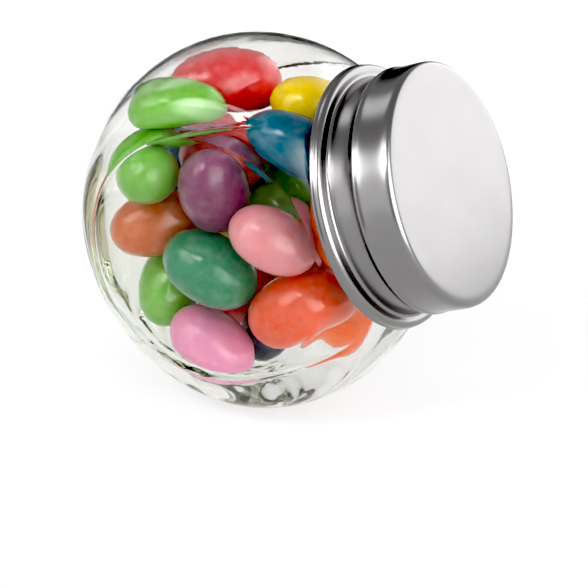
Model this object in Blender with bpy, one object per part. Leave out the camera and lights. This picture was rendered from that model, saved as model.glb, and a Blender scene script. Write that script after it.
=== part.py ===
"""A small round glass sweet jar with two flat sides, shut by a steel lid and filled with jelly beans.

Each piece is shaped in the jar's own frame: +X out of the mouth, -Y out of the front flat side, +Z up
across that side, with the origin at the middle of the round body. An empty then tips the frame back to
the stance, in which the mouth points a little upwards and the body lies on a small flat spot at Z = 0.
"""
from math import asin, cos, hypot, pi, radians, sin, sqrt, tan, tanh

import bmesh
import bpy
import numpy as np
from mathutils import Matrix, Vector
from mathutils.bvhtree import BVHTree

MM = 0.001

# Stance
MOUTH_RISE = radians(21)        # the mouth's axis above level
REST_CUT = 0.40 * MM            # how deep the resting spot is cut into the round body

# Glass body
BODY_RADIUS = 30 * MM           # middle of the body to its round edge, square to the mouth's axis
BODY_DEPTH = 28 * MM            # middle of the body to its back, along the mouth's axis
SIDE_DISTANCE = 17.75 * MM      # middle of the body to each flat side
SIDE_RADIUS = 19.6 * MM         # the flat disc in each side
RIM_SLOPE = radians(17)         # how the glass falls away around that disc
RIM_EASE = 3 * MM               # how softly that slope turns into the round edge
BASE_TURN = radians(135)        # from the mouth's axis to the jar's own base
BASE_CUT = 0.8 * MM             # how deep that base is cut into the round body
WALL = 1.7 * MM                 # glass at the round edge

# Hollow
HOLLOW_RADIUS = BODY_RADIUS - WALL
HOLLOW_DEPTH = BODY_DEPTH - WALL
HOLLOW_DISTANCE = 15.7 * MM     # middle of the body to the hollow's flat
HOLLOW_FLAT = 18 * MM
HOLLOW_EASE = 4.5 * MM
FLOOR_DISTANCE = 26 * MM        # middle of the body to the hollow's floor, over the thicker base
FLOOR_EASE = 2.5 * MM           # width of the blend into that floor

# Neck and mouth
NECK_RADIUS = 17.4 * MM
BORE_RADIUS = 14.6 * MM
NECK_START = 24.2 * MM
NECK_EASE = 0.35 * MM           # how much wider the neck is where it leaves the body
SHOULDER_RADIUS = 18.8 * MM     # where the round body ends
SHOULDER_ROUND = 0.8 * MM       # length over which the body turns into the neck
LIP_END = 34.9 * MM
LIP_ROUND = 1.0 * MM

# Lid
LID_END = 35.7 * MM
LID_SHEET = 0.35 * MM
LID_RADIUS = 18.8 * MM          # the front band
LID_CORNER = 1.1 * MM
LID_WAIST = 18.3 * MM           # the second band, behind the ridge
RIDGE_PLACE = 29.4 * MM
RIDGE_HALF_WIDTH = 0.6 * MM
RIDGE_HEIGHT = 0.18 * MM
RIDGE_DROP = 1.0 * MM           # length over which the ridge falls to the waist
BEAD_PLACE = 23.7 * MM
BEAD_REACH = 20.6 * MM
BEAD_ROLL = 1.0 * MM

# Jelly beans
BEAN_LENGTH = 15.8 * MM
BEAN_WIDTH = 11.2 * MM
BEAN_THICKNESS = 10.6 * MM
BEAN_BEND = 0.9 * MM            # how far the ends curl towards the flatter side
BEAN_FULLNESS = 0.85            # 1 is an ellipse, less is plumper at the ends
END_GIRTH = 0.87                # of the middle's, for the balls that stand for a bean's two ends
BEAN_GAP = 0.4 * MM             # kept to the glass
PUSH_LIMIT = 0.5 * MM           # furthest a bean is pushed in one round
SETTLE_ROUNDS = 240
CORE_SIZE = (22 * MM, 10 * MM, 21 * MM)     # half sizes of the pillow inside the heap

# Fineness
TURNS = 48                      # facets around the mouth's axis
BODY_RINGS = 18
HOLLOW_RINGS = 16
BEAN_SIDES = 10
BEAN_RINGS = 7
CORE_SIDES = 24
CORE_RINGS = 12

# Each bean: how far towards the mouth, towards the front side and up, in millimetres, where it points,
# how large it is beside the usual bean, and how freely it gives way while the heap settles.
BEANS = {
    "green_front": ((-11.0, 7.5, 13.2), (0.94, 0.17, -0.30), 0.96, 0.1),
    "purple": ((1.7, 8.5, 8.3), (0.55, -0.21, 0.81), 1.0, 0.05),
    "brown": ((-15.6, 5.5, 5.6), (0.96, -0.27, 0.10), 1.06, 0.05),
    "teal": ((-4.4, 9.0, -3.3), (0.67, -0.02, -0.74), 1.04, 0.05),
    "salmon": ((7.2, 9.0, -0.3), (0.70, -0.27, -0.66), 1.0, 0.05),
    "green_low": ((-21.3, 1.5, -7.3), (0.43, -0.34, 0.83), 1.02, 0.05),
    "lilac": ((-13.6, 5.0, -18.3), (0.54, -0.11, -0.83), 1.02, 0.03),
    "coral": ((4.8, 8.0, -11.3), (0.99, -0.10, 0.14), 1.0, 0.05),
    "navy": ((-6.5, -1.5, -22.1), (0.31, -0.80, 0.51), 0.96, 0.1),
    "red_low": ((-11.9, -3.0, -16.4), (0.92, -0.29, 0.26), 0.98, 0.1),
    "red_mid": ((0.2, -0.0, 10.7), (0.78, -0.12, -0.62), 1.0, 0.2),
    "blue_mid": ((-13.6, -4.5, 13.3), (0.91, -0.32, -0.27), 0.98, 0.4),
    "olive": ((3.2, -4.0, 4.5), (0.87, -0.25, -0.42), 0.98, 0.2),
    "blue_neck": ((11.7, 3.5, 11.3), (0.81, -0.17, -0.56), 1.06, 0.05),
    "yellow_neck": ((10.8, -4.5, 15.1), (0.81, -0.17, -0.56), 1.0, 0.1),
    "orange_neck": ((10.7, 1.0, -4.1), (0.39, 0.23, -0.89), 1.04, 0.1),
    "orange_low": ((7.3, -1.0, -17.5), (0.86, -0.45, 0.22), 1.04, 0.1),
    "red_top": ((-1.1, -6.0, 23.1), (0.82, -0.45, -0.36), 1.1, 0.03),
    "green_top": ((-7.8, 1.5, 22.8), (0.82, -0.45, -0.36), 0.98, 0.05),
    "yellow_back": ((-19.0, -6.5, 1.0), (0.20, 0.20, 0.90), 1.0, 1.0),
    "green_mid": ((-7.0, -9.5, 3.0), (0.40, 0.00, 0.90), 1.0, 1.0),
    "orange_back": ((0.0, -9.5, -9.0), (0.30, 0.50, 0.70), 0.98, 1.0),
    "salmon_back": ((11.0, -9.5, -9.5), (0.30, 0.10, 0.90), 1.0, 1.0),
    "teal_back": ((18.5, -5.0, 0.5), (0.30, 0.30, 0.90), 0.96, 1.0),
}


def length_to_mm(value):
    """Give a length in millimetres, for the messages."""
    return round(value / MM, 2)


# ------------------------------------------------------------------ the body's form

def smaller(first, second, blend):
    """Give the smaller of two lengths, easing from one to the other where they are close."""
    closeness = max(blend - abs(first - second), 0)
    return min(first, second) - closeness ** 2 / (4 * blend)


def side_half_width(x, z, middle, flat, radius, depth, ease):
    """Give the half width of a round form with a flat disc and a sloping rim on each side."""
    slope = middle - max(hypot(x, z) - flat, 0) * tan(RIM_SLOPE)
    reach = min(hypot(x / depth, z / radius), 1)
    return smaller(slope, radius * sqrt(1 - reach ** 2), ease)


def outer_half_width(x, z):
    """Give the body's half width at a place on the plane between its two flat sides."""
    return side_half_width(x, z, SIDE_DISTANCE, SIDE_RADIUS, BODY_RADIUS, BODY_DEPTH, RIM_EASE)


def hollow_half_width(x, z):
    """Give the hollow's half width there."""
    return side_half_width(x, z, HOLLOW_DISTANCE, HOLLOW_FLAT, HOLLOW_RADIUS, HOLLOW_DEPTH, HOLLOW_EASE)


def round_half_width(radius, z):
    """Give the half width of a round neck or bore at a height across it."""
    return sqrt(max(radius ** 2 - z ** 2, 0))


def soften(distance, limit, ease):
    """Hold a distance under a limit, easing into it."""
    over = (distance - limit + ease) / ease
    return distance if over <= 0 else limit - ease + ease * tanh(over)


def base_direction():
    """Give the direction in which the jar's own base faces."""
    return Vector((cos(BASE_TURN), 0, -sin(BASE_TURN)))


def down_direction():
    """Give the direction that points straight down once the jar is tipped to its stance."""
    return Vector((-sin(MOUTH_RISE), 0, -cos(MOUTH_RISE)))


def body_reach(direction):
    """Give how far the round body reaches in a direction in the plane between its flat sides."""
    return hypot(BODY_DEPTH * direction.x, BODY_RADIUS * direction.z)


def resting_point():
    """Give the middle of the resting spot."""
    down = down_direction()
    reach = body_reach(down)
    lowest = Vector((BODY_DEPTH ** 2 * down.x, 0, BODY_RADIUS ** 2 * down.z)) / reach
    return lowest - REST_CUT * down


def press_outer(point):
    """Bring a point of the turned outside to the flat sides."""
    x, y, z = point
    width = outer_half_width(x, z)
    if x > 0:
        width = max(width, round_half_width(NECK_RADIUS + NECK_EASE, z))
    return Vector((x, min(abs(y), width) * (1 if y > 0 else -1), z))


def press_hollow(point):
    """Bring a point of the turned inside to the flat sides of the hollow, and to its thick floor."""
    x, y, z = point
    width = hollow_half_width(x, z)
    if x > 0:
        width = max(width, round_half_width(BORE_RADIUS, z))
    pressed = Vector((x, min(abs(y), width) * (1 if y > 0 else -1), z))
    base = base_direction()
    depth = pressed.dot(base)
    return pressed + (soften(depth, FLOOR_DISTANCE, FLOOR_EASE) - depth) * base


# ------------------------------------------------------------------ mesh helpers

def turned(mesh, profile, turns, press=None):
    """Turn a profile of (place along X, radius) pairs about the X axis, and give its rings of vertices."""
    rings = []
    for x, radius in profile:
        steps = 1 if radius < 1e-7 else turns
        ring = []
        for step in range(steps):
            angle = 2 * pi * (step + 0.5) / steps
            point = Vector((x, radius * sin(angle), radius * cos(angle)))
            ring.append(mesh.verts.new(press(point) if press else point))
        rings.append(ring)
    return rings


def bridge(mesh, first, second):
    """Join two rings of vertices, either of which may be a single pole."""
    count = max(len(first), len(second))
    for step in range(count):
        after = (step + 1) % count
        corners = [first[step % len(first)], first[after % len(first)]]
        corners += [second[after % len(second)], second[step % len(second)]]
        mesh.faces.new(list(dict.fromkeys(corners)))


def arc(middle, radius, start, end, steps):
    """Give points on a round stretch of a profile, from one angle to another, in degrees."""
    angles = [radians(start + (end - start) * step / steps) for step in range(steps + 1)]
    return [(middle[0] + radius * cos(angle), middle[1] + radius * sin(angle)) for angle in angles]


def cut_flat(mesh, point, direction):
    """Slice off what lies past a plane, and close the cut with one flat face."""
    everything = mesh.verts[:] + mesh.edges[:] + mesh.faces[:]
    cut = bmesh.ops.bisect_plane(mesh, geom=everything, plane_co=point, plane_no=direction, clear_outer=True)
    rim = [item for item in cut["geom_cut"] if isinstance(item, bmesh.types.BMEdge)]
    bmesh.ops.contextual_create(mesh, geom=rim)


def new_object(name, mesh, material, stance):
    """Make a named object of a finished mesh, with its finish, standing in the tipped frame."""
    bmesh.ops.recalc_face_normals(mesh, faces=mesh.faces[:])
    data = bpy.data.meshes.new(name)
    mesh.to_mesh(data)
    mesh.free()
    data.materials.append(material)
    data.shade_smooth()
    piece = bpy.data.objects.new(name, data)
    bpy.context.scene.collection.objects.link(piece)
    piece.parent = stance
    return piece


def make_material(name, colour, roughness, metallic=0.0, alpha=1.0):
    """Make a plain Principled finish."""
    material = bpy.data.materials.new(name)
    material.use_nodes = True
    shader = material.node_tree.nodes["Principled BSDF"]
    shader.inputs["Base Color"].default_value = (*colour, 1)
    shader.inputs["Roughness"].default_value = roughness
    shader.inputs["Metallic"].default_value = metallic
    shader.inputs["Alpha"].default_value = alpha
    return material


# ------------------------------------------------------------------ the glass jar

def body_profile(depth, radius, end_radius, steps):
    """Give the round body's profile from its back pole to where it narrows to a given radius."""
    end_angle = pi - asin(end_radius / radius)
    angles = [end_angle * step / steps for step in range(steps + 1)]
    return [(-depth * cos(angle), radius * sin(angle)) for angle in angles]


def make_glass(stance):
    """Make the jar: the pressed round body, its neck and lip, and the hollow inside."""
    body = body_profile(BODY_DEPTH, BODY_RADIUS, SHOULDER_RADIUS, BODY_RINGS)
    shoulder_place = body[-1][0]
    neck = [(shoulder_place + SHOULDER_ROUND, NECK_RADIUS + NECK_EASE), (NECK_START, NECK_RADIUS)]
    lip_place = LIP_END - LIP_ROUND
    lip = arc((lip_place, NECK_RADIUS - LIP_ROUND), LIP_ROUND, 90, 0, 3)
    lip += arc((lip_place, BORE_RADIUS + LIP_ROUND), LIP_ROUND, 0, -90, 3)
    inside = body_profile(HOLLOW_DEPTH, HOLLOW_RADIUS, BORE_RADIUS, HOLLOW_RINGS)[::-1]

    mesh = bmesh.new()
    rings = turned(mesh, body, TURNS, press_outer)
    rings += turned(mesh, neck + lip, TURNS)
    rings += turned(mesh, inside, TURNS, press_hollow)
    for first, second in zip(rings, rings[1:]):
        bridge(mesh, first, second)
    base = base_direction()
    cut_flat(mesh, base * (body_reach(base) - BASE_CUT), base)
    cut_flat(mesh, resting_point(), down_direction())
    glass = make_material("clear_glass", (0.93, 0.97, 0.95), 0.03, alpha=0.35)
    return new_object("glass_jar", mesh, glass, stance)


# ------------------------------------------------------------------ the lid

def lid_profile():
    """Give the pressed lid's section as a closed loop, outside first, from the face's middle round to it."""
    bead_middle = (BEAD_PLACE, BEAD_REACH - BEAD_ROLL)
    inner_waist = LID_WAIST - LID_SHEET
    inner_radius = LID_RADIUS - LID_SHEET
    corner = (LID_END - LID_CORNER, LID_RADIUS - LID_CORNER)
    groove = BEAD_PLACE + BEAD_ROLL
    loop = [(LID_END, 0)] + arc(corner, LID_CORNER, 0, 90, 4)
    loop += [(RIDGE_PLACE + RIDGE_HALF_WIDTH, LID_RADIUS), (RIDGE_PLACE, LID_RADIUS + RIDGE_HEIGHT)]
    loop += [(RIDGE_PLACE - RIDGE_HALF_WIDTH, LID_RADIUS - RIDGE_HEIGHT)]
    loop += [(RIDGE_PLACE - RIDGE_DROP, LID_WAIST)]
    loop += [(groove + BEAD_ROLL / 2, LID_WAIST), (groove, LID_WAIST + BEAD_ROLL / 2)]
    loop += arc(bead_middle, BEAD_ROLL, 30, 230, 8)
    loop += [(BEAD_PLACE, inner_waist), (RIDGE_PLACE - RIDGE_DROP + LID_SHEET, inner_waist)]
    loop += [(RIDGE_PLACE, inner_radius), (LID_END - LID_CORNER, inner_radius)]
    return loop + [(LID_END - LID_SHEET, LID_RADIUS - LID_CORNER), (LID_END - LID_SHEET, 0)]


def make_lid(stance):
    """Make the lid: a thin pressed cap with a ridge, a waist and a rolled bead."""
    mesh = bmesh.new()
    rings = turned(mesh, lid_profile(), TURNS)
    for first, second in zip(rings, rings[1:]):
        bridge(mesh, first, second)
    steel = make_material("polished_steel", (0.78, 0.77, 0.76), 0.16, metallic=1.0)
    return new_object("lid", mesh, steel, stance)


# ------------------------------------------------------------------ the jelly beans

def bean_balls():
    """Give the three balls, as place along the bean and radius, that stand for a bean while it settles."""
    middle = BEAN_WIDTH / 2
    end = END_GIRTH * middle
    return [(-BEAN_LENGTH / 2 + end, end), (0, middle), (BEAN_LENGTH / 2 - end, end)]


def settle_beans(glass):
    """Push the beans apart and off the glass until they lie side by side, and give centres and directions."""
    corners = [vertex.co for vertex in glass.data.vertices]
    tree = BVHTree.FromPolygons(corners, [face.vertices for face in glass.data.polygons])
    places, ways, sizes, give = zip(*BEANS.values())
    centres = np.array([(place[0], -place[1], place[2]) for place in places]) * MM
    axes = np.array([(way[0], -way[1], way[2]) for way in ways])
    axes /= np.linalg.norm(axes, axis=1)[:, None]
    offsets = np.outer(sizes, [offset for offset, _ in bean_balls()])
    radii = np.outer(sizes, [radius for _, radius in bean_balls()]).ravel()
    owner = np.repeat(np.arange(len(centres)), offsets.shape[1])
    strangers = owner[:, None] != owner[None, :]
    reach = radii[:, None] + radii[None, :]
    give = np.array(give)[owner]
    share = give[:, None] / (give[:, None] + give[None, :])
    for _ in range(SETTLE_ROUNDS):
        balls = (centres[:, None] + axes[:, None] * offsets[:, :, None]).reshape(-1, 3)
        apart = balls[:, None] - balls[None, :]
        distance = np.linalg.norm(apart, axis=2) + 1e-9
        overlap = np.where(strangers, np.maximum(reach - distance, 0), 0)
        push = (apart / distance[:, :, None] * (overlap * share)[:, :, None]).sum(axis=1)
        for index, ball in enumerate(balls):
            spot, normal, _, _ = tree.find_nearest(Vector(ball))
            short = radii[index] + BEAN_GAP - (Vector(ball) - spot).dot(normal)
            if short > 0:
                push[index] += np.array(normal) * short
        push = np.clip(push, -PUSH_LIMIT, PUSH_LIMIT).reshape(len(centres), -1, 3)
        centres += push.sum(axis=1) / 2
        swing = (push * offsets[:, :, None]).sum(axis=1) / (2 * (offsets ** 2).sum(axis=1))[:, None]
        axes += swing - (swing * axes).sum(axis=1)[:, None] * axes
        axes /= np.linalg.norm(axes, axis=1)[:, None]
    print("left overlapping by at most", length_to_mm(overlap.max()), "mm")
    return centres, axes


def bean_frame(centre, axis, size):
    """Give the matrix that lays a bean of a given size with its length along an axis."""
    along = Vector(axis).normalized()
    side = along.cross(Vector((0, 0, 1))).normalized()
    turn = Matrix((along, side, along.cross(side))).transposed()
    return Matrix.Translation(Vector(centre)) @ turn.to_4x4() @ Matrix.Scale(size, 4)


def add_bean(mesh, frame):
    """Add one closed bean: a plump rounded form whose two ends curl a little to one side."""
    rings = []
    for ring in range(BEAN_RINGS + 1):
        angle = pi * ring / BEAN_RINGS
        along = cos(angle)
        girth = sin(angle) ** BEAN_FULLNESS
        steps = 1 if girth < 1e-6 else BEAN_SIDES
        points = []
        for step in range(steps):
            turn = 2 * pi * step / BEAN_SIDES
            side = BEAN_WIDTH / 2 * girth * cos(turn) + BEAN_BEND * (girth ** 2 - 0.5)
            points.append(Vector((BEAN_LENGTH / 2 * along, side, BEAN_THICKNESS / 2 * girth * sin(turn))))
        rings.append([mesh.verts.new(frame @ point) for point in points])
    for first, second in zip(rings, rings[1:]):
        bridge(mesh, first, second)


def add_core(mesh):
    """Add the closed pillow that joins the beans into one heap."""
    rings = []
    for level in range(CORE_RINGS + 1):
        angle = pi * level / CORE_RINGS
        count = 1 if level in (0, CORE_RINGS) else CORE_SIDES
        turns = [2 * pi * step / CORE_SIDES for step in range(count)]
        points = [(cos(angle), sin(angle) * cos(turn), sin(angle) * sin(turn)) for turn in turns]
        sized = [[part * size for part, size in zip(point, CORE_SIZE)] for point in points]
        rings.append([mesh.verts.new(point) for point in sized])
    for first, second in zip(rings, rings[1:]):
        bridge(mesh, first, second)


def make_beans(glass, stance):
    """Make the heap: one solid of a core and all the beans that bulge out of it."""
    sweet = make_material("jelly_bean", (0.62, 0.22, 0.16), 0.3)
    centres, axes = settle_beans(glass)
    loose = bmesh.new()
    for centre, axis, (_, _, size, _) in zip(centres, axes, BEANS.values()):
        add_bean(loose, bean_frame(centre, axis, size))
    cutter = new_object("bean_shapes", loose, sweet, stance)
    cutter.hide_render = True
    cutter.display_type = "WIRE"
    core = bmesh.new()
    add_core(core)
    heap = new_object("jelly_beans", core, sweet, stance)
    union = heap.modifiers.new("all the beans", "BOOLEAN")
    union.operation = "UNION"
    union.solver = "EXACT"
    union.use_self = True
    union.object = cutter
    return heap


# ------------------------------------------------------------------ the whole

def make_stance():
    """Make the empty that tips the jar's own frame so that the resting spot lies on Z = 0."""
    stance = bpy.data.objects.new("stance", None)
    bpy.context.scene.collection.objects.link(stance)
    tip = Matrix.Rotation(-MOUTH_RISE, 4, "Y")
    stance.rotation_euler = tip.to_euler()
    stance.location = -(tip @ resting_point())
    return stance


def main():
    """Build the jar, its lid and the heap of beans."""
    for old in list(bpy.data.objects):
        bpy.data.objects.remove(old, do_unlink=True)
    stance = make_stance()
    glass = make_glass(stance)
    make_lid(stance)
    make_beans(glass, stance)
    print("body", length_to_mm(2 * BODY_RADIUS), "mm across,", length_to_mm(2 * SIDE_DISTANCE), "mm thick")


main()
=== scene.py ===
# %% [markdown]
# # A round jar of jelly beans
#
# This lesson dresses a small glass sweet jar. Its body is round with two flat sides, its mouth is
# tilted and shut by a pressed steel lid, and it is full of jelly beans in mixed colours.
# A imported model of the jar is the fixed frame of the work: it says how large everything is and where
# it stands. The lesson models finer pieces over it, and gives them finishes made of nodes alone.

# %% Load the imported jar
from math import cos, exp, hypot, pi, radians, sin, sqrt, tan, tanh

import bmesh
import bpy
import numpy as np
from mathutils import Matrix, Vector, noise
from mathutils.bvhtree import BVHTree


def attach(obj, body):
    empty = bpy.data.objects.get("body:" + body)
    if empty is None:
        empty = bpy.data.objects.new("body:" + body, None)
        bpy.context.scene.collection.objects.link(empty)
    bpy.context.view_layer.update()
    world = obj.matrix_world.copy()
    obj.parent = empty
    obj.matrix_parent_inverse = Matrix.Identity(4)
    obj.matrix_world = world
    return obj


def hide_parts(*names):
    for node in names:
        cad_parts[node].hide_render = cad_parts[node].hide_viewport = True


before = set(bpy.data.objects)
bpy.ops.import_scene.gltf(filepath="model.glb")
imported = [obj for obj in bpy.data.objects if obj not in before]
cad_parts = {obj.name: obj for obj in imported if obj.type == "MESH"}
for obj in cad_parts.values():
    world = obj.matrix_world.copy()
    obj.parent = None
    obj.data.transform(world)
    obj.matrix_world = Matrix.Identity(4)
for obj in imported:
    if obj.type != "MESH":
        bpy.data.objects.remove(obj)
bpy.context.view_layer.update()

MM = 0.001

# %% [markdown]
# ## The jar's own frame
#
# A tilted object is easier to model straight. So each piece is made in the jar's own frame: the middle
# of the round body is the origin, +X points out of the mouth, -Y out of the front flat side, and +Z
# up across that side. The jar lies on its round edge with the mouth 21 degrees above level. One matrix,
# the stance, tips a finished piece into place, and its place is then baked into its mesh.

# %% The stance
MOUTH_RISE = radians(21)
BODY_RADIUS = 30 * MM           # middle of the body to its round edge, square to the mouth's axis
BODY_DEPTH = 27.98 * MM         # middle of the body to its back, along the mouth's axis
REST_CUT = 0.40 * MM            # how deep the flat resting spot is

down = Vector((-sin(MOUTH_RISE), 0, -cos(MOUTH_RISE)))
lowest = Vector((BODY_DEPTH ** 2 * down.x, 0, BODY_RADIUS ** 2 * down.z))
lowest /= hypot(BODY_DEPTH * down.x, BODY_RADIUS * down.z)
rest_depth = lowest.dot(down) - REST_CUT
tip = Matrix.Rotation(-MOUTH_RISE, 4, "Y")
STANCE = Matrix.Translation(-(tip @ (lowest - REST_CUT * down))) @ tip
print("the body's middle stands", round(STANCE.translation.z / MM, 2), "mm above the floor")

# %% [markdown]
# ## Working by hand, in code
#
# Blender's operators act on whatever is selected, so every step starts by deselecting everything.
# A primitive is added and named, edit mode is entered, and parts are picked by where they are.


# %% Starting, picking and finishing a piece
def start_piece(name, add, **settings):
    """Add a primitive with nothing else selected, name it, and give it back."""
    bpy.ops.object.select_all(action="DESELECT")
    add(**settings)
    piece = bpy.context.active_object
    piece.name = piece.data.name = name
    return piece


def pick_pieces(*pieces):
    """Select some pieces and nothing else; the first becomes the active one."""
    bpy.ops.object.select_all(action="DESELECT")
    for piece in pieces:
        piece.select_set(True)
    bpy.context.view_layer.objects.active = pieces[0]


def pick_corners(piece, wanted):
    """In edit mode, select the corners whose place passes a test, and nothing else."""
    mesh = bmesh.from_edit_mesh(piece.data)
    mesh.select_mode = {"VERT"}
    for corner in mesh.verts:
        corner.select = wanted(corner.co)
    mesh.select_flush_mode()
    bmesh.update_edit_mesh(piece.data)


def stand(piece):
    """Tip a finished piece to the jar's stance, and bake its place into its mesh."""
    pick_pieces(piece)
    piece.matrix_world = STANCE @ piece.matrix_world
    bpy.ops.object.transform_apply(location=True, rotation=True, scale=True)


def count_triangles(piece):
    """Give how many triangles a piece's faces make."""
    return sum(len(face.vertices) - 2 for face in piece.data.polygons)


# %% [markdown]
# ## The form of the glass
#
# The body is a ball with its two sides pressed flat. Each side has a flat disc, with a crease around
# it, and falls away from the crease in a slope until it meets the round edge. A second crease, with a
# fine ridge, lies along the first at the back and runs on to the neck.
# The hollow has plain flat sides without a crease, so the glass over the slope works like a prism:
# what is seen there jumps outwards. Only under the disc does the hollow lean in as well, so the lowest
# beans aren't seen twice. The wall is thin at the round edge and thick at the base and the back.
# These few functions say how wide the glass is at any place between its two flat sides.

# %% Measures of the glass
SIDE_DISTANCE = 17.75 * MM      # middle of the body to each flat side
DISC_RADIUS = 19.6 * MM         # the flat disc in each side
DISC_SLOPE = tan(radians(18))   # how the glass falls away around that disc
PANEL_RADIUS = 20.05 * MM       # the second crease, over and under the disc
PANEL_SLOPE = tan(radians(6))   # how much more it falls away outside the second crease
PANEL_REACH = 0.48              # how little that crease turns in towards the mouth
CREASE_EASE = 0.25 * MM         # how softly both creases turn
RIDGE_HEIGHT = 0.22 * MM        # of the fine ridge along the second crease
RIDGE_WIDTH = 0.3 * MM
RIM_EASE = 3 * MM               # how softly the slope turns into the round edge
BASE_TURN = radians(135)        # from the mouth's axis to the jar's own base
BASE_CUT = 0.8 * MM             # how flat that base is
BASE_EASE = 0.5 * MM            # how softly it turns into the round body
REST_EASE = 0.08 * MM           # the same for the resting spot
WALL = 0.6 * MM                 # glass at the round edge
HOLLOW_RADIUS = BODY_RADIUS - WALL
HOLLOW_DEPTH = BODY_DEPTH - WALL
HOLLOW_DISTANCE = 15.7 * MM     # middle of the body to the hollow's flat
HOLLOW_EASE = 4.5 * MM
HOLLOW_LEAN = tan(radians(29))  # how the hollow's side leans in under the disc
LEAN_RADIUS = 19.4 * MM
LEAN_DROP = 10 * MM             # how far under the middle it leans in full
LEAN_EASE = 0.8 * MM
FLOOR_DISTANCE = 24.9 * MM      # middle of the body to the hollow's floor
FLOOR_EASE = 2.5 * MM           # width of the blend into that floor
BACK_DISTANCE = 24.6 * MM       # middle of the body to the hollow's back
BACK_EASE = 4 * MM
NECK_RADIUS = 17.4 * MM
BORE_RADIUS = 14.6 * MM
NECK_START = 24.2 * MM
SHOULDER_RADIUS = 18.8 * MM     # the round body where it ends
LIP_END = 34.9 * MM             # middle of the body to the mouth's rim
LIP_ROUND = 1.0 * MM
TINY = 1e-6                     # closer than this, in metres, two places are one

base_direction = Vector((cos(BASE_TURN), 0, -sin(BASE_TURN)))
base_depth = hypot(BODY_DEPTH * base_direction.x, BODY_RADIUS * base_direction.z) - BASE_CUT


# %% How wide the glass is, and how far it may reach
def ramp(distance, ease):
    """Give nought below nought and the distance above it, turning softly from one to the other."""
    if distance <= -ease:
        return 0.0
    return distance if distance >= ease else (distance + ease) ** 2 / (4 * ease)


def smaller(first, second, blend):
    """Give the smaller of two lengths, easing from one to the other where they are close."""
    closeness = max(blend - abs(first - second), 0)
    return min(first, second) - closeness ** 2 / (4 * blend)


def side(x, z):
    """Give the half width across the flat side and its two creases."""
    out_of_disc = ramp(hypot(x, z) - DISC_RADIUS, CREASE_EASE)
    along = x if x < 0 else PANEL_REACH * x
    past_panel = hypot(along, z) - PANEL_RADIUS
    ridge = RIDGE_HEIGHT * exp(-(past_panel / RIDGE_WIDTH) ** 2)
    return SIDE_DISTANCE - DISC_SLOPE * out_of_disc - PANEL_SLOPE * ramp(past_panel, CREASE_EASE) + ridge


def hollow_side(x, z):
    """Give the half width across the hollow's side, which is flat and leans in only under the disc."""
    lean = HOLLOW_LEAN * min(max(-z / LEAN_DROP, 0), 1)
    return HOLLOW_DISTANCE - lean * ramp(hypot(x, z) - LEAN_RADIUS, LEAN_EASE)


def half_width(x, z, flat_side, radius, depth, ease):
    """Give the half width of a pressed ball at a place on the plane between its two sides."""
    share = min(hypot(x / depth, z / radius), 1)
    return smaller(flat_side(x, z), radius * sqrt(1 - share ** 2), ease)


def round_half_width(radius, z):
    """Give the half width of a round neck or bore at a height across it."""
    return sqrt(max(radius ** 2 - z ** 2, 0))


def held_back(point, direction, limit, ease):
    """Bring a point that reaches past a plane back to it, softly."""
    depth = point.dot(direction)
    over = (depth - limit + ease) / ease
    return point if over <= 0 else point + (limit - ease + ease * tanh(over) - depth) * direction


middle_width = half_width(0, 0, side, BODY_RADIUS, BODY_DEPTH, RIM_EASE)
print("half width at the middle", round(middle_width / MM, 2), "mm")

# %% [markdown]
# ## The glass jar
#
# The outside starts as a ball with its poles along the mouth's axis. It is drawn in along that axis,
# its mouth end is cut off, and the open rim is extruded into the neck and the rounded lip.
# A second, smaller ball becomes the hollow, and a bridge joins the two rims, so that the glass is one
# closed wall with real thickness: light bends where it should only if the wall is real.
# No operator presses a ball to a flat side with a crease, so that step moves the points in code.

# %% The two balls, cut open at the neck
GLASS_SIDES = 256
OUTSIDE_RINGS = 160
HOLLOW_RINGS = 128


def rim_distance(radius, depth, rim_radius):
    """Give how far towards the mouth a ball narrows to the radius of its rim."""
    return depth * sqrt(1 - (rim_radius / radius) ** 2)


def open_ball(name, rings, radius, depth, rim_radius):
    """Make a ball with its poles along X, as deep as asked, cut open where it narrows to the rim."""
    ball = start_piece(name, bpy.ops.mesh.primitive_uv_sphere_add, segments=GLASS_SIDES,
                       ring_count=rings, radius=radius, rotation=(0, pi / 2, 0))
    bpy.ops.object.transform_apply(location=True, rotation=True, scale=True)
    bpy.ops.object.mode_set(mode="EDIT")
    bpy.ops.mesh.select_all(action="SELECT")
    bpy.ops.transform.resize(value=(depth / radius, 1, 1), center_override=(0, 0, 0))
    rim_place = rim_distance(radius, depth, rim_radius)
    bpy.ops.mesh.select_all(action="SELECT")
    bpy.ops.mesh.bisect(plane_co=(rim_place, 0, 0), plane_no=(1, 0, 0), clear_outer=True, threshold=TINY)
    bpy.ops.object.mode_set(mode="OBJECT")
    print(name, "is open at", round(rim_place / MM, 2), "mm towards the mouth")
    return ball


outside = open_ball("glass", OUTSIDE_RINGS, BODY_RADIUS, BODY_DEPTH, SHOULDER_RADIUS)
hollow = open_ball("hollow", HOLLOW_RINGS, HOLLOW_RADIUS, HOLLOW_DEPTH, BORE_RADIUS)

# %% [markdown]
# The flat sides are pressed in, the base and the resting spot are held back, and the floor over the
# thick base gets the uneven waves of moulded glass, which blur and streak what is seen through it.
# A crease needs small faces, so the outside is cut finer there before it is pressed.

# %% Cut the ball finer where the creases will be
CREASE_BAND = 0.7 * MM          # to each side of a crease
CREASE_CUTS = 2


def near_crease(place):
    """Say whether a point lies close to one of the two creases."""
    along = place.x if place.x < 0 else PANEL_REACH * place.x
    return min(abs(hypot(place.x, place.z) - DISC_RADIUS),
               abs(hypot(along, place.z) - PANEL_RADIUS)) < CREASE_BAND


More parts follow.
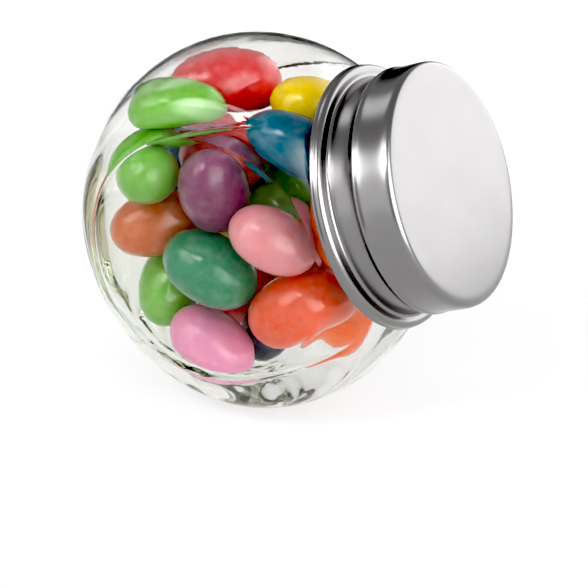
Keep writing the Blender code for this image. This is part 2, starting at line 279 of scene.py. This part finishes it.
pick_pieces(outside)
bpy.ops.object.mode_set(mode="EDIT")
pick_corners(outside, near_crease)
bpy.ops.mesh.subdivide(number_cuts=CREASE_CUTS)
bpy.ops.object.mode_set(mode="OBJECT")
print("the outside now has", count_triangles(outside), "triangles")

# %% Press the sides, the base and the floor
NECK_EASE = 0.35 * MM           # how much wider the neck is where it leaves the body
FLOOR_WAVES = 0.7 * MM          # how high the waves are in the floor
WAVE_LENGTH = 3 * MM
WAVES_START = 17 * MM           # middle of the body to where they begin, towards the base
WAVES_RISE = 8 * MM             # length over which they grow to their full height


def press(ball, flat_side, radius, depth, ease, neck_radius, finish):
    """Move every point of a ball to its pressed place."""
    for corner in ball.data.vertices:
        x, y, z = corner.co
        width = half_width(x, z, flat_side, radius, depth, ease)
        if x > 0:
            width = max(width, round_half_width(neck_radius, z))
        pressed = Vector((x, min(abs(y), width) * (1 if y > 0 else -1), z))
        corner.co = finish(pressed)


def finish_outside(point):
    """Flatten the base a little, and the resting spot."""
    point = held_back(point, base_direction, base_depth, BASE_EASE)
    return held_back(point, down, rest_depth, REST_EASE)


def finish_hollow(point):
    """Lay the thick back and the thick, wavy floor."""
    back = held_back(point, Vector((-1, 0, 0)), BACK_DISTANCE, BACK_EASE)
    floor = held_back(back, base_direction, FLOOR_DISTANCE, FLOOR_EASE)
    share = min(max((point.dot(base_direction) - WAVES_START) / WAVES_RISE, 0), 1)
    return floor + noise.noise(point / WAVE_LENGTH) * FLOOR_WAVES * share * base_direction


press(outside, side, BODY_RADIUS, BODY_DEPTH, RIM_EASE, NECK_RADIUS + NECK_EASE, finish_outside)
press(hollow, hollow_side, HOLLOW_RADIUS, HOLLOW_DEPTH, HOLLOW_EASE, BORE_RADIUS, finish_hollow)

# %% Extrude the neck and the lip, and bridge the lip to the hollow
SHOULDER_ROUND = 0.8 * MM       # length over which the body turns into the neck
LIP_STEPS = 6                   # rings on each quarter round of the lip


def quarter(middle, radius, start, steps):
    """Give (place, radius) pairs on a quarter round that turns on from an angle in degrees."""
    angles = [radians(start - 90 * step / steps) for step in range(steps + 1)]
    return [(middle[0] + radius * cos(angle), middle[1] + radius * sin(angle)) for angle in angles]


def rim_radius(piece):
    """Give the mean radius of the selected rim."""
    rim = [corner.co for corner in bmesh.from_edit_mesh(piece.data).verts if corner.select]
    return sum(hypot(place.y, place.z) for place in rim) / len(rim)


def extrude_rim(piece, rings, place):
    """Draw the selected rim out through a list of (place along X, radius) rings, each one round."""
    for next_place, next_radius in rings:
        bpy.ops.mesh.extrude_region_move(TRANSFORM_OT_translate={"value": (next_place - place, 0, 0)})
        bpy.ops.transform.tosphere(value=1, center_override=(next_place, 0, 0))
        share = next_radius / rim_radius(piece)
        bpy.ops.transform.resize(value=(1, share, share), center_override=(next_place, 0, 0))
        place = next_place


shoulder_place = rim_distance(BODY_RADIUS, BODY_DEPTH, SHOULDER_RADIUS)
lip_place = LIP_END - LIP_ROUND
pick_pieces(outside)
bpy.ops.object.mode_set(mode="EDIT")
pick_corners(outside, lambda place: place.x > shoulder_place - TINY)
neck = [(shoulder_place + SHOULDER_ROUND, NECK_RADIUS + NECK_EASE), (NECK_START, NECK_RADIUS)]
neck += quarter((lip_place, NECK_RADIUS - LIP_ROUND), LIP_ROUND, 90, LIP_STEPS)
neck += quarter((lip_place, BORE_RADIUS + LIP_ROUND), LIP_ROUND, 0, LIP_STEPS)
extrude_rim(outside, neck, shoulder_place)
bpy.ops.object.mode_set(mode="OBJECT")

pick_pieces(outside, hollow)
bpy.ops.object.join()
glass = outside
bpy.ops.object.mode_set(mode="EDIT")
bpy.ops.mesh.select_mode(type="EDGE")
bpy.ops.mesh.select_all(action="DESELECT")
bpy.ops.mesh.select_non_manifold()
bpy.ops.mesh.bridge_edge_loops()
bpy.ops.mesh.select_all(action="SELECT")
bpy.ops.mesh.remove_doubles(threshold=TINY)
bpy.ops.mesh.normals_make_consistent(inside=False)
bpy.ops.object.mode_set(mode="OBJECT")
bpy.ops.object.shade_smooth()
print("the glass has", count_triangles(glass), "triangles")

# %% [markdown]
# ## The steel lid
#
# The lid is pressed from thin sheet: a flat face with a rounded corner, a straight front band, a small
# ridge, a waist behind it, and a rolled bead at the open end. A turned piece needs only its section.
# A plane is gathered into one corner, that corner is extruded along the section, the section is spun
# about the mouth's axis, and a Subdivision Surface rounds every bend.

# %% Draw the lid's section and spin it
LID_SECTION = [                 # place along the axis and radius, in millimetres, from the face's middle
    (35.7, 0), (35.7, 6), (35.7, 12), (35.7, 16.2), (35.7, 17.4), (35.62, 18.1), (35.3, 18.6), (34.7, 18.8),
    (33.8, 18.83), (32.2, 18.8), (30.6, 18.8), (30.0, 18.86), (29.6, 19.02), (29.3, 19.02), (29.0, 18.8),
    (28.7, 18.5), (28.2, 18.34), (27.2, 18.3), (26.1, 18.3), (25.4, 18.3), (24.9, 18.36), (24.6, 18.7),
    (24.75, 19.3), (24.75, 19.9), (24.3, 20.4), (23.9, 20.42), (23.6, 20.42), (23.3, 20.6), (22.95, 20.52),
    (22.7, 20.2), (22.68, 19.7), (22.95, 19.3), (23.5, 19.15), (24.0, 18.9), (24.3, 18.4), (24.7, 18.05),
    (26, 17.95), (28, 17.95), (28.7, 18.1), (29.2, 18.42), (30.0, 18.46), (34.4, 18.46), (35.0, 18.3),
    (35.3, 17.9), (35.35, 17.2), (35.35, 12), (35.35, 6), (35.35, 0)]
LID_SIDES = 64                  # before the Subdivision Surface
LID_LEVELS = 2

lid = start_piece("steel_lid", bpy.ops.mesh.primitive_plane_add, size=MM)
section = [Vector((place, 0, radius)) * MM for place, radius in LID_SECTION]
bpy.ops.object.mode_set(mode="EDIT")
bpy.ops.mesh.select_mode(type="VERT")
bpy.ops.mesh.merge(type="CENTER")
bpy.ops.transform.translate(value=section[0])
for before, after in zip(section, section[1:]):
    bpy.ops.mesh.extrude_region_move(TRANSFORM_OT_translate={"value": after - before})
bpy.ops.mesh.select_all(action="SELECT")
bpy.ops.mesh.spin(steps=LID_SIDES, angle=2 * pi, center=(0, 0, 0), axis=(1, 0, 0))
bpy.ops.mesh.select_all(action="SELECT")
bpy.ops.mesh.remove_doubles(threshold=TINY)
bpy.ops.mesh.normals_make_consistent(inside=False)
bpy.ops.object.mode_set(mode="OBJECT")

# %% Round the lid's bends
bends = lid.modifiers.new("rounded bends", "SUBSURF")
bends.levels = bends.render_levels = LID_LEVELS
bpy.ops.object.modifier_apply(modifier=bends.name)
bpy.ops.object.shade_smooth()
print("the lid has", count_triangles(lid), "triangles and is",
      round(2 * max(corner.co.z for corner in lid.data.vertices) / MM, 2), "mm across its bead")

# %% [markdown]
# ## One jelly bean
#
# A jelly bean is a plump little kidney. It starts as a ball of even triangles that is drawn out to the
# bean's length. A Cast modifier makes its ends fuller, and a Simple Deform modifier bends it a little.
# It is modelled once. Every other bean is a copy with a mesh of its own, a little larger or smaller,
# turned its own way, and dented a little so that no two are quite alike.

# %% Model the bean
BEAN_LENGTH = 15.8 * MM
BEAN_WIDTH = 11.2 * MM
BEAN_THICKNESS = 10.6 * MM
BEAN_FULLNESS = 0.06            # nought is a plain long ball, one is a box
BEAN_BEND = radians(22)         # how far the two ends turn towards each other
BEAN_LEVELS = 5

bean = start_piece("bean", bpy.ops.mesh.primitive_ico_sphere_add,
                   subdivisions=BEAN_LEVELS, radius=BEAN_LENGTH / 2)
bpy.ops.object.mode_set(mode="EDIT")
bpy.ops.mesh.select_all(action="SELECT")
bpy.ops.transform.resize(value=(1, BEAN_WIDTH / BEAN_LENGTH, BEAN_THICKNESS / BEAN_LENGTH),
                         center_override=(0, 0, 0))
bpy.ops.object.mode_set(mode="OBJECT")
fuller = bean.modifiers.new("fuller ends", "CAST")
fuller.cast_type = "CUBOID"
fuller.factor = BEAN_FULLNESS
bent = bean.modifiers.new("a little bent", "SIMPLE_DEFORM")
bent.deform_method = "BEND"
bent.deform_axis = "Z"
bent.angle = BEAN_BEND
for step in (fuller, bent):
    bpy.ops.object.modifier_apply(modifier=step.name)
bpy.ops.object.mode_set(mode="EDIT")
bpy.ops.mesh.select_all(action="SELECT")
bean_corners = np.array([corner.co for corner in bmesh.from_edit_mesh(bean.data).verts])
lowest_corner, highest_corner = bean_corners.min(axis=0), bean_corners.max(axis=0)
bpy.ops.transform.translate(value=-(lowest_corner + highest_corner) / 2)
wanted = np.array([BEAN_LENGTH, BEAN_WIDTH, BEAN_THICKNESS])
bpy.ops.transform.resize(value=wanted / (highest_corner - lowest_corner), center_override=(0, 0, 0))
bpy.ops.object.mode_set(mode="OBJECT")
bpy.ops.object.shade_smooth()
print("one bean measures", (np.array(bean.dimensions) / MM).round(1), "mm, with",
      count_triangles(bean), "triangles")

# %% [markdown]
# ## Where the beans lie
#
# Each bean has a rough place, a direction and a size. Rough places overlap, so the heap is settled:
# every bean is stood for by three balls, and in many small rounds the balls push each other apart and
# off the glass. The last number says how freely a bean gives way, so that the ones against the
# front side stay where they are and the ones behind make room.

# %% The beans, by colour
# Each row: how far towards the mouth, towards the front side and up, in millimetres, where the bean
# points, how large it is beside the usual bean, and how freely it gives way.
BEANS = {
    "green": [((-10.5, 7.8, 13.5), (0.62, 0.72, 0.30), 0.90, 0.05),
              ((-19.4, 3.0, -5.8), (0.30, -0.50, 0.80), 0.94, 0.06),
              ((-5.6, 5.0, 20.7), (0.85, -0.40, -0.34), 1.00, 0.04)],
    "purple": [((2.5, 9.5, 6.2), (0.41, 0.50, 0.75), 0.99, 0.03)],
    "amber": [((-15.2, 5.0, 5.3), (0.92, -0.35, 0.10), 0.98, 0.05)],
    "teal": [((-3.5, 9.5, -3.1), (0.70, -0.02, -0.72), 1.03, 0.04),
             ((18.5, -5.0, 0.5), (0.30, 0.30, 0.90), 0.96, 1.0)],
    "salmon": [((7.5, 9.8, 1.4), (0.74, -0.20, -0.64), 0.91, 0.03),
               ((11.0, -9.5, -9.5), (0.30, 0.10, 0.90), 1.00, 1.0)],
    "lilac": [((-9.9, 8.0, -16.2), (0.62, -0.11, -0.77), 0.97, 0.04),
              ((15.0, -10.0, 3.5), (0.75, 0.00, 0.60), 0.92, 1.0)],
    "coral": [((6.6, 8.5, -11.8), (0.99, -0.08, 0.14), 1.06, 0.04)],
    "navy": [((-5.0, -0.5, -17.6), (0.31, -0.80, 0.51), 0.78, 0.06)],
    "red": [((-15.3, -5.0, -16.6), (0.85, -0.40, 0.35), 0.92, 0.3),
            ((-2.5, -1.0, 11.7), (0.80, -0.12, -0.60), 0.94, 0.2),
            ((-4.2, -8.0, 22.6), (0.85, -0.45, -0.30), 1.18, 0.01)],
    "blue": [((-12.2, -4.8, 12.5), (0.15, -0.25, 0.95), 0.92, 0.2),
             ((12.5, 4.0, 10.6), (0.75, -0.17, -0.64), 1.02, 0.06)],
    "olive": [((3.0, -3.0, 2.5), (0.90, -0.20, -0.40), 0.94, 0.2),
              ((-7.0, -9.5, 3.0), (0.40, 0.00, 0.90), 1.00, 1.0),
              ((2.8, -10.0, 9.5), (0.60, 0.10, 0.75), 0.92, 1.0)],
    "yellow": [((11.2, -8.0, 13.4), (0.78, -0.30, -0.55), 0.95, 0.03),
               ((-19.0, -6.5, 1.0), (0.20, 0.20, 0.90), 1.00, 1.0)],
    "orange": [((14.0, 3.5, -2.2), (0.39, 0.25, -0.88), 1.00, 0.06),
               ((4.2, -3.5, -15.2), (0.65, -0.60, 0.45), 1.00, 0.2),
               ((0.0, -9.5, -9.0), (0.30, 0.50, 0.70), 0.98, 1.0)],
}

# %% Settle the heap against the glass
BEAN_GAP = 0.05 * MM            # kept to the glass
PUSH_LIMIT = 0.5 * MM           # furthest a bean is pushed in one round
SETTLE_ROUNDS = 240
END_GIRTH = 0.87                # of the middle's, for the two end balls
NO_DISTANCE = 1e-9              # keeps a ball's distance to itself from being nought


def settle(beans, wall):
    """Push the beans apart and off the glass; give their centres and directions."""
    places, ways, sizes, give = zip(*beans)
    flip = np.array([1, -1, 1])         # the front side faces -Y
    centres = np.array(places) * flip * MM
    axes = np.array(ways) * flip
    axes /= np.linalg.norm(axes, axis=1)[:, None]
    middle, end = BEAN_WIDTH / 2, END_GIRTH * BEAN_WIDTH / 2
    offsets = np.outer(sizes, [end - BEAN_LENGTH / 2, 0, BEAN_LENGTH / 2 - end])
    radii = np.outer(sizes, [end, middle, end]).ravel()
    owner = np.repeat(np.arange(len(centres)), offsets.shape[1])
    strangers = owner[:, None] != owner[None, :]
    reach = radii[:, None] + radii[None, :]
    give = np.array(give)[owner]
    share = give[:, None] / (give[:, None] + give[None, :])
    for _ in range(SETTLE_ROUNDS):
        balls = (centres[:, None] + axes[:, None] * offsets[:, :, None]).reshape(-1, 3)
        apart = balls[:, None] - balls[None, :]
        distance = np.linalg.norm(apart, axis=2) + NO_DISTANCE
        overlap = np.where(strangers, np.maximum(reach - distance, 0), 0)
        push = (apart / distance[:, :, None] * (overlap * share)[:, :, None]).sum(axis=1)
        for index, ball in enumerate(balls):
            spot, normal, _, _ = wall.find_nearest(Vector(ball))
            short = radii[index] + BEAN_GAP - (Vector(ball) - spot).dot(normal)
            if short > 0:
                push[index] += np.array(normal) * short
        push = np.clip(push, -PUSH_LIMIT, PUSH_LIMIT).reshape(len(centres), -1, 3)
        centres += push.sum(axis=1) / 2
        swing = (push * offsets[:, :, None]).sum(axis=1) / (2 * (offsets ** 2).sum(axis=1))[:, None]
        axes += swing - (swing * axes).sum(axis=1)[:, None] * axes
        axes /= np.linalg.norm(axes, axis=1)[:, None]
    print("the settled beans overlap by at most", round(overlap.max() / MM, 2), "mm")
    return centres, axes


corners = [corner.co for corner in glass.data.vertices]
wall = BVHTree.FromPolygons(corners, [face.vertices for face in glass.data.polygons])
heap = [(colour, *row) for colour, rows in BEANS.items() for row in rows]
centres, axes = settle([row[1:] for row in heap], wall)

# %% [markdown]
# Each copy is laid along its settled direction, and gentle dents are pressed into it with smooth noise.
# Copies of one colour are joined, so there is one piece for each kind of bean.

# %% Copy the bean into its places, and join each colour
DENT_DEPTH = 0.08 * MM
DENT_LENGTH = 6 * MM
DENT_SHIFT = Vector((7.3, 3.1, 5.7))    # how far on in the noise each next bean's dents are taken


def lay_bean(name, centre, axis, size, number):
    """Copy the bean, dent it, and lay it with its length along an axis."""
    copy = bean.copy()
    copy.data = bean.data.copy()
    copy.name = name
    bpy.context.scene.collection.objects.link(copy)
    shift = DENT_SHIFT * number
    for corner in copy.data.vertices:
        corner.co += corner.normal * noise.noise(corner.co / DENT_LENGTH + shift) * DENT_DEPTH
    along = Vector(axis).normalized()
    across = along.cross(Vector((0, 0, 1))).normalized()
    turn = Matrix((along, across, along.cross(across))).transposed().to_4x4()
    copy.matrix_world = Matrix.Translation(Vector(centre)) @ turn @ Matrix.Scale(size, 4)
    return copy


beans_of = {}
for number, ((colour, _, _, size, _), centre, axis) in enumerate(zip(heap, centres, axes)):
    name = f"beans_{colour}"
    beans_of.setdefault(colour, []).append(lay_bean(name, centre, axis, size, number))
for colour, copies in beans_of.items():
    pick_pieces(*copies)
    if len(copies) > 1:
        bpy.ops.object.join()
    beans_of[colour] = bpy.context.view_layer.objects.active
bpy.data.objects.remove(bean, do_unlink=True)
print(len(heap), "beans in", len(beans_of), "colours")

# %% Stand every piece in its place
for piece in [glass, lid, *beans_of.values()]:
    stand(piece)
bpy.context.view_layer.update()

# %% [markdown]
# ## Finishes made of nodes
#
# A finish is built from nodes. Writing the sums as plain expressions keeps them readable, so a small
# class wraps a node's output and turns each + - * into a Math node. Everything else, such as noise,
# mixes and bumps, comes from one method that takes a node's type, its settings and its inputs.


# %% A wrapped output, and a finish that holds the nodes
COLOUR_A, COLOUR_B = 6, 7       # a Mix node has inputs of one name for each type; these are the colours
COLOUR_RESULT = 2


class Value:
    """One output of a node, on which sums can be written."""

    def __init__(self, finish, socket):
        self.finish, self.socket = finish, socket

    def sum(self, operation, first, second):
        """Add a Math node for one sum."""
        return self.finish.node("ShaderNodeMath", {"operation": operation}, {0: first, 1: second})

    def __add__(self, other):
        return self.sum("ADD", self, other)

    def __sub__(self, other):
        return self.sum("SUBTRACT", self, other)

    def __rsub__(self, other):
        return self.sum("SUBTRACT", other, self)

    def __mul__(self, other):
        return self.sum("MULTIPLY", self, other)

    __radd__, __rmul__ = __add__, __mul__


class Finish:
    """The nodes of one material or of the surroundings."""

    def __init__(self, owner):
        owner.use_nodes = True
        self.tree = owner.node_tree

    def node(self, kind, settings, inputs, output=0):
        """Add a node: its settings first, then the numbers or links of its inputs."""
        node = self.tree.nodes.new(kind)
        for name, setting in settings.items():
            setattr(node, name, setting)
        for name, value in inputs.items():
            self.feed(node, name, value)
        return Value(self, node.outputs[output])

    def feed(self, node, name, value):
        """Give one input a number, a colour or a link."""
        if isinstance(value, Value):
            self.tree.links.new(value.socket, node.inputs[name])
        else:
            node.inputs[name].default_value = value

    def between(self, value, low, high, to_low=0.0, to_high=1.0):
        """Spread a value smoothly from one range to another."""
        return self.node("ShaderNodeMapRange", {"interpolation_type": "SMOOTHSTEP"},
                         {"Value": value, "From Min": low, "From Max": high,
                          "To Min": to_low, "To Max": to_high})

    def mix(self, share, first, second):
        """Mix two colours by a share."""
        return self.node("ShaderNodeMix", {"data_type": "RGBA"},
                         {"Factor": share, COLOUR_A: first, COLOUR_B: second}, COLOUR_RESULT)

    def noise(self, place, scale, detail=2.0, roughness=0.5):
        """Give smooth noise at a place; the scale is in waves for each metre."""
        return self.node("ShaderNodeTexNoise", {}, {"Vector": place, "Scale": scale, "Detail": detail,
                                                    "Roughness": roughness})

    def bump(self, height, distance):
        """Turn a height into a dented normal; the distance is in metres."""
        return self.node("ShaderNodeBump", {}, {"Height": height, "Distance": distance})


def new_finish(name):
    """Make a material and give it with its nodes and its shader."""
    material = bpy.data.materials.new(name)
    finish = Finish(material)
    shader = finish.tree.nodes["Principled BSDF"]
    place = finish.node("ShaderNodeTexCoord", {}, {}, "Object")
    return material, finish, shader, place


def dress(piece, material):
    """Give a piece one material in place of any other."""
    piece.data.materials.clear()
    piece.data.materials.append(material)


# %% [markdown]
# ## Clear glass
#
# Clear moulded glass has no colour of its own and bends light by half again. Its surface isn't quite
# even, so a very shallow bump lets reflections and edges waver. A volume absorbs a little light, so the
# glass darkens slightly, towards green, where it is thick.

# %% The glass finish
GLASS_BEND = 1.5
WAVER = 0.02 * MM
WAVER_SCALE = 240               # waves for each metre, as for every scale below
GLASS_TINT = (0.84, 0.855, 0.80, 1)
TINT_DENSITY = 170

clear_glass, finish, shader, place = new_finish("clear_glass_fine")
shader.inputs["Base Color"].default_value = (1, 1, 1, 1)
shader.inputs["Transmission Weight"].default_value = 1
shader.inputs["IOR"].default_value = GLASS_BEND
shader.inputs["Roughness"].default_value = 0
finish.feed(shader, "Normal", finish.bump(finish.noise(place, WAVER_SCALE, 3), WAVER))
tint = finish.tree.nodes.new("ShaderNodeVolumeAbsorption")
tint.inputs["Color"].default_value = GLASS_TINT
tint.inputs["Density"].default_value = TINT_DENSITY
finish.tree.links.new(tint.outputs[0], finish.tree.nodes["Material Output"].inputs["Volume"])
dress(glass, clear_glass)
print("the glass is dressed")

# %% [markdown]
# ## Polished tinplate
#
# Bright tinplate is a softly polished metal. Fine rubbing marks and finger smudges change how sharp it
# shines from place to place, and the sheet is never perfectly flat.

# %% The steel finish
CLEAN_STEEL, RUBBED_STEEL = (0.285, 0.28, 0.28, 1), (0.28, 0.275, 0.275, 1)
STEEL_ROUGHNESS = (0.22, 0.24)  # clean and rubbed
SMUDGE_SCALE = 130
STEEL_WAVER = 0.006 * MM
STEEL_SCALE = 90

polished_steel, finish, shader, place = new_finish("polished_steel_fine")
smudge = finish.between(finish.noise(place, SMUDGE_SCALE, 4, 0.6), 0.35, 0.7)
shader.inputs["Metallic"].default_value = 1
finish.feed(shader, "Base Color", finish.mix(smudge, CLEAN_STEEL, RUBBED_STEEL))
finish.feed(shader, "Roughness", finish.between(smudge, 0, 1, *STEEL_ROUGHNESS))
finish.feed(shader, "Normal", finish.bump(finish.noise(place, STEEL_SCALE, 2), STEEL_WAVER))
dress(lid, polished_steel)
print("the lid is dressed")

# %% [markdown]
# ## Glazed sugar
#
# A jelly bean's shell is coloured sugar under a clear glaze. The colour is a little cloudy, with paler
# patches and fine dark specks, and the glaze is smooth but not even. Thin sugar lets some light in.

# %% The bean finishes
def from_screen(red, green, blue):
    """Turn a colour as a screen shows it, from 0 to 255, into the amounts of light it stands for."""
    parts = [part / 255 for part in (red, green, blue)]
    return tuple(part / 12.92 if part <= 0.04045 else ((part + 0.055) / 1.055) ** 2.4 for part in parts)


BEAN_COLOURS = {
    "green": (122, 190, 74), "purple": (136, 64, 108), "amber": (206, 107, 58), "teal": (56, 144, 106),
    "salmon": (250, 160, 168), "lilac": (246, 158, 198), "coral": (240, 92, 52), "navy": (24, 34, 56),
    "red": (230, 66, 70), "blue": (0, 104, 130), "olive": (118, 166, 48), "yellow": (255, 216, 26),
    "orange": (248, 106, 24)}
PALER, DEEPER = 0.16, 0.72      # the cloudy patches are paler, the specks deeper
CLOUD_SHARE, SPECK_SHARE = 0.5, 0.35
SUGAR_ROUGHNESS = (0.3, 0.42)   # clear and cloudy
SUGAR_BUMP = 0.05 * MM
CLOUD_SCALE, SPECK_SCALE = 420, 1500
SUGAR_DEPTH = 1.5 * MM          # how far light gets into the shell


def sugar_finish(name, colour):
    """Make the glazed sugar of one colour."""
    material, finish, shader, place = new_finish(name)
    light = from_screen(*colour)
    pale = tuple(part + (1 - part) * PALER for part in light)
    deep = tuple(part * DEEPER for part in light)
    cloud = finish.between(finish.noise(place, CLOUD_SCALE, 5, 0.65), 0.35, 0.75)
    speck = finish.between(finish.noise(place, SPECK_SCALE, 2), 0.62, 0.74)
    clouded = finish.mix(cloud * CLOUD_SHARE, (*light, 1), (*pale, 1))
    finish.feed(shader, "Base Color", finish.mix(speck * SPECK_SHARE, clouded, (*deep, 1)))
    finish.feed(shader, "Roughness", finish.between(cloud, 0, 1, *SUGAR_ROUGHNESS))
    finish.feed(shader, "Normal", finish.bump(finish.noise(place, CLOUD_SCALE, 3), SUGAR_BUMP))
    shader.inputs["Specular IOR Level"].default_value = 0.25
    shader.inputs["Subsurface Weight"].default_value = 0.25
    shader.inputs["Subsurface Scale"].default_value = SUGAR_DEPTH
    shader.inputs["Coat Weight"].default_value = 0.8
    shader.inputs["Coat Roughness"].default_value = 0.05
    return material


for colour, piece in beans_of.items():
    dress(piece, sugar_finish(f"sugar_{colour}", BEAN_COLOURS[colour]))
print(len(BEAN_COLOURS), "sugar finishes")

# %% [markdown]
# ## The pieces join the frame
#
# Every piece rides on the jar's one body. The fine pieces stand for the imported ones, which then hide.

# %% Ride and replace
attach(glass, "root")
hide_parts("glass_jar")
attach(lid, "root")
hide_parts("lid")
for piece in beans_of.values():
    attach(piece, "root")
    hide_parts("jelly_beans")

# %% [markdown]
# ## Floor, light and camera
#
# A product like this stands on a plain pale table in a bright room. The table glows a little itself, so
# that it stays white around the jar and under it. The surroundings are a soft grey with some bright
# panels, which glass and steel need: they show nothing but what is around them. A panel whose
# brightness is less than nought is a dark patch: the ones near the horizon draw the dark line along
# the jar's glass edge.

# %% The floor
FLOOR_RADIUS = 0.36             # in metres
FLOOR_SIDES = 96
FLOOR_ROUGHNESS = 0.7
FLOOR_GLOW = 0.57
FLOOR_SCALE = 40
TABLE_DARK, TABLE_PALE = (0.17, 0.17, 0.17, 1), (0.19, 0.19, 0.19, 1)

floor = start_piece("floor", bpy.ops.mesh.primitive_circle_add,
                    vertices=FLOOR_SIDES, radius=FLOOR_RADIUS, fill_type="NGON")
pale_table, finish, shader, place = new_finish("pale_table")
cloud = finish.noise(place, FLOOR_SCALE, 2)
finish.feed(shader, "Base Color", finish.mix(cloud, TABLE_DARK, TABLE_PALE))
shader.inputs["Roughness"].default_value = FLOOR_ROUGHNESS
shader.inputs["Emission Color"].default_value = (1, 1, 1, 1)
shader.inputs["Emission Strength"].default_value = FLOOR_GLOW
dress(floor, pale_table)
print("the floor is", 2 * FLOOR_RADIUS, "m across")

# %% The surroundings: a grey room with bright panels and dark patches
ROOM_GREY = 0.48
PANELS = [                      # direction, its spread and its soft edge in degrees, brightness
    ((-0.17, -0.65, 0.74), 6.5, 2, 21.0),
    ((-0.50, -0.66, 0.56), 15, 4, 3.2),
    ((0.52, 0.85, 0.10), 38, 8, 1.7),
    ((-0.75, 0.24, 0.62), 9, 4, 1.0),
    ((0.80, -0.50, 0.33), 24, 18, 4.2),
    ((-0.53, -0.85, 0.0), 22, 10, 0.7),
    ((-0.62, 0.78, -0.04), 20, 6, -0.36),
    ((-0.20, 0.97, 0.05), 14, 6, -0.06),
]
world = bpy.data.worlds.new("studio")
bpy.context.scene.world = world
room = Finish(world)
way = room.node("ShaderNodeTexCoord", {}, {}, "Generated")
glow = ROOM_GREY
for direction, spread, edge, brightness in PANELS:
    unit = Vector(direction).normalized()
    towards = room.node("ShaderNodeVectorMath", {"operation": "DOT_PRODUCT"}, {0: way, 1: unit}, "Value")
    panel = room.between(towards, cos(radians(spread + edge)), cos(radians(spread - edge)), 0, brightness)
    glow = panel + glow
background = room.tree.nodes["Background"]
background.inputs["Color"].default_value = (1, 1, 1, 1)
room.feed(background, "Strength", glow)
print(len(PANELS), "panels light the jar")

# %% The camera
LENS = 122.4                    # in millimetres: a long lens, from about a third of a metre away

camera_data = bpy.data.cameras.new("camera")
camera = bpy.data.objects.new("camera", camera_data)
bpy.context.scene.collection.objects.link(camera)
camera_data.lens = LENS
camera_data.clip_start = 0.01
camera.location = (0.1409, -0.2558, 0.1566)
camera.rotation_euler = (radians(64.383), radians(0.041), radians(28.034))
bpy.context.scene.camera = camera
print("the camera is", round(camera.location.length, 3), "m from the jar's foot")

# %% Contrast and light paths
DARKEST = 0.085                 # shown as black
BRIGHTEST = 0.77                # shown as white
LIGHT_BENDS = 20                # light crosses many walls of glass before it comes out

scene = bpy.context.scene
scene.view_settings.view_transform = "Standard"
scene.view_settings.use_curve_mapping = True
scene.view_settings.curve_mapping.black_level = (DARKEST, DARKEST, DARKEST)
scene.view_settings.curve_mapping.white_level = (BRIGHTEST, BRIGHTEST, BRIGHTEST)
scene.cycles.use_denoising = True
scene.cycles.max_bounces = LIGHT_BENDS
scene.cycles.transmission_bounces = LIGHT_BENDS
scene.cycles.glossy_bounces = 8
scene.cycles.sample_clamp_indirect = 6
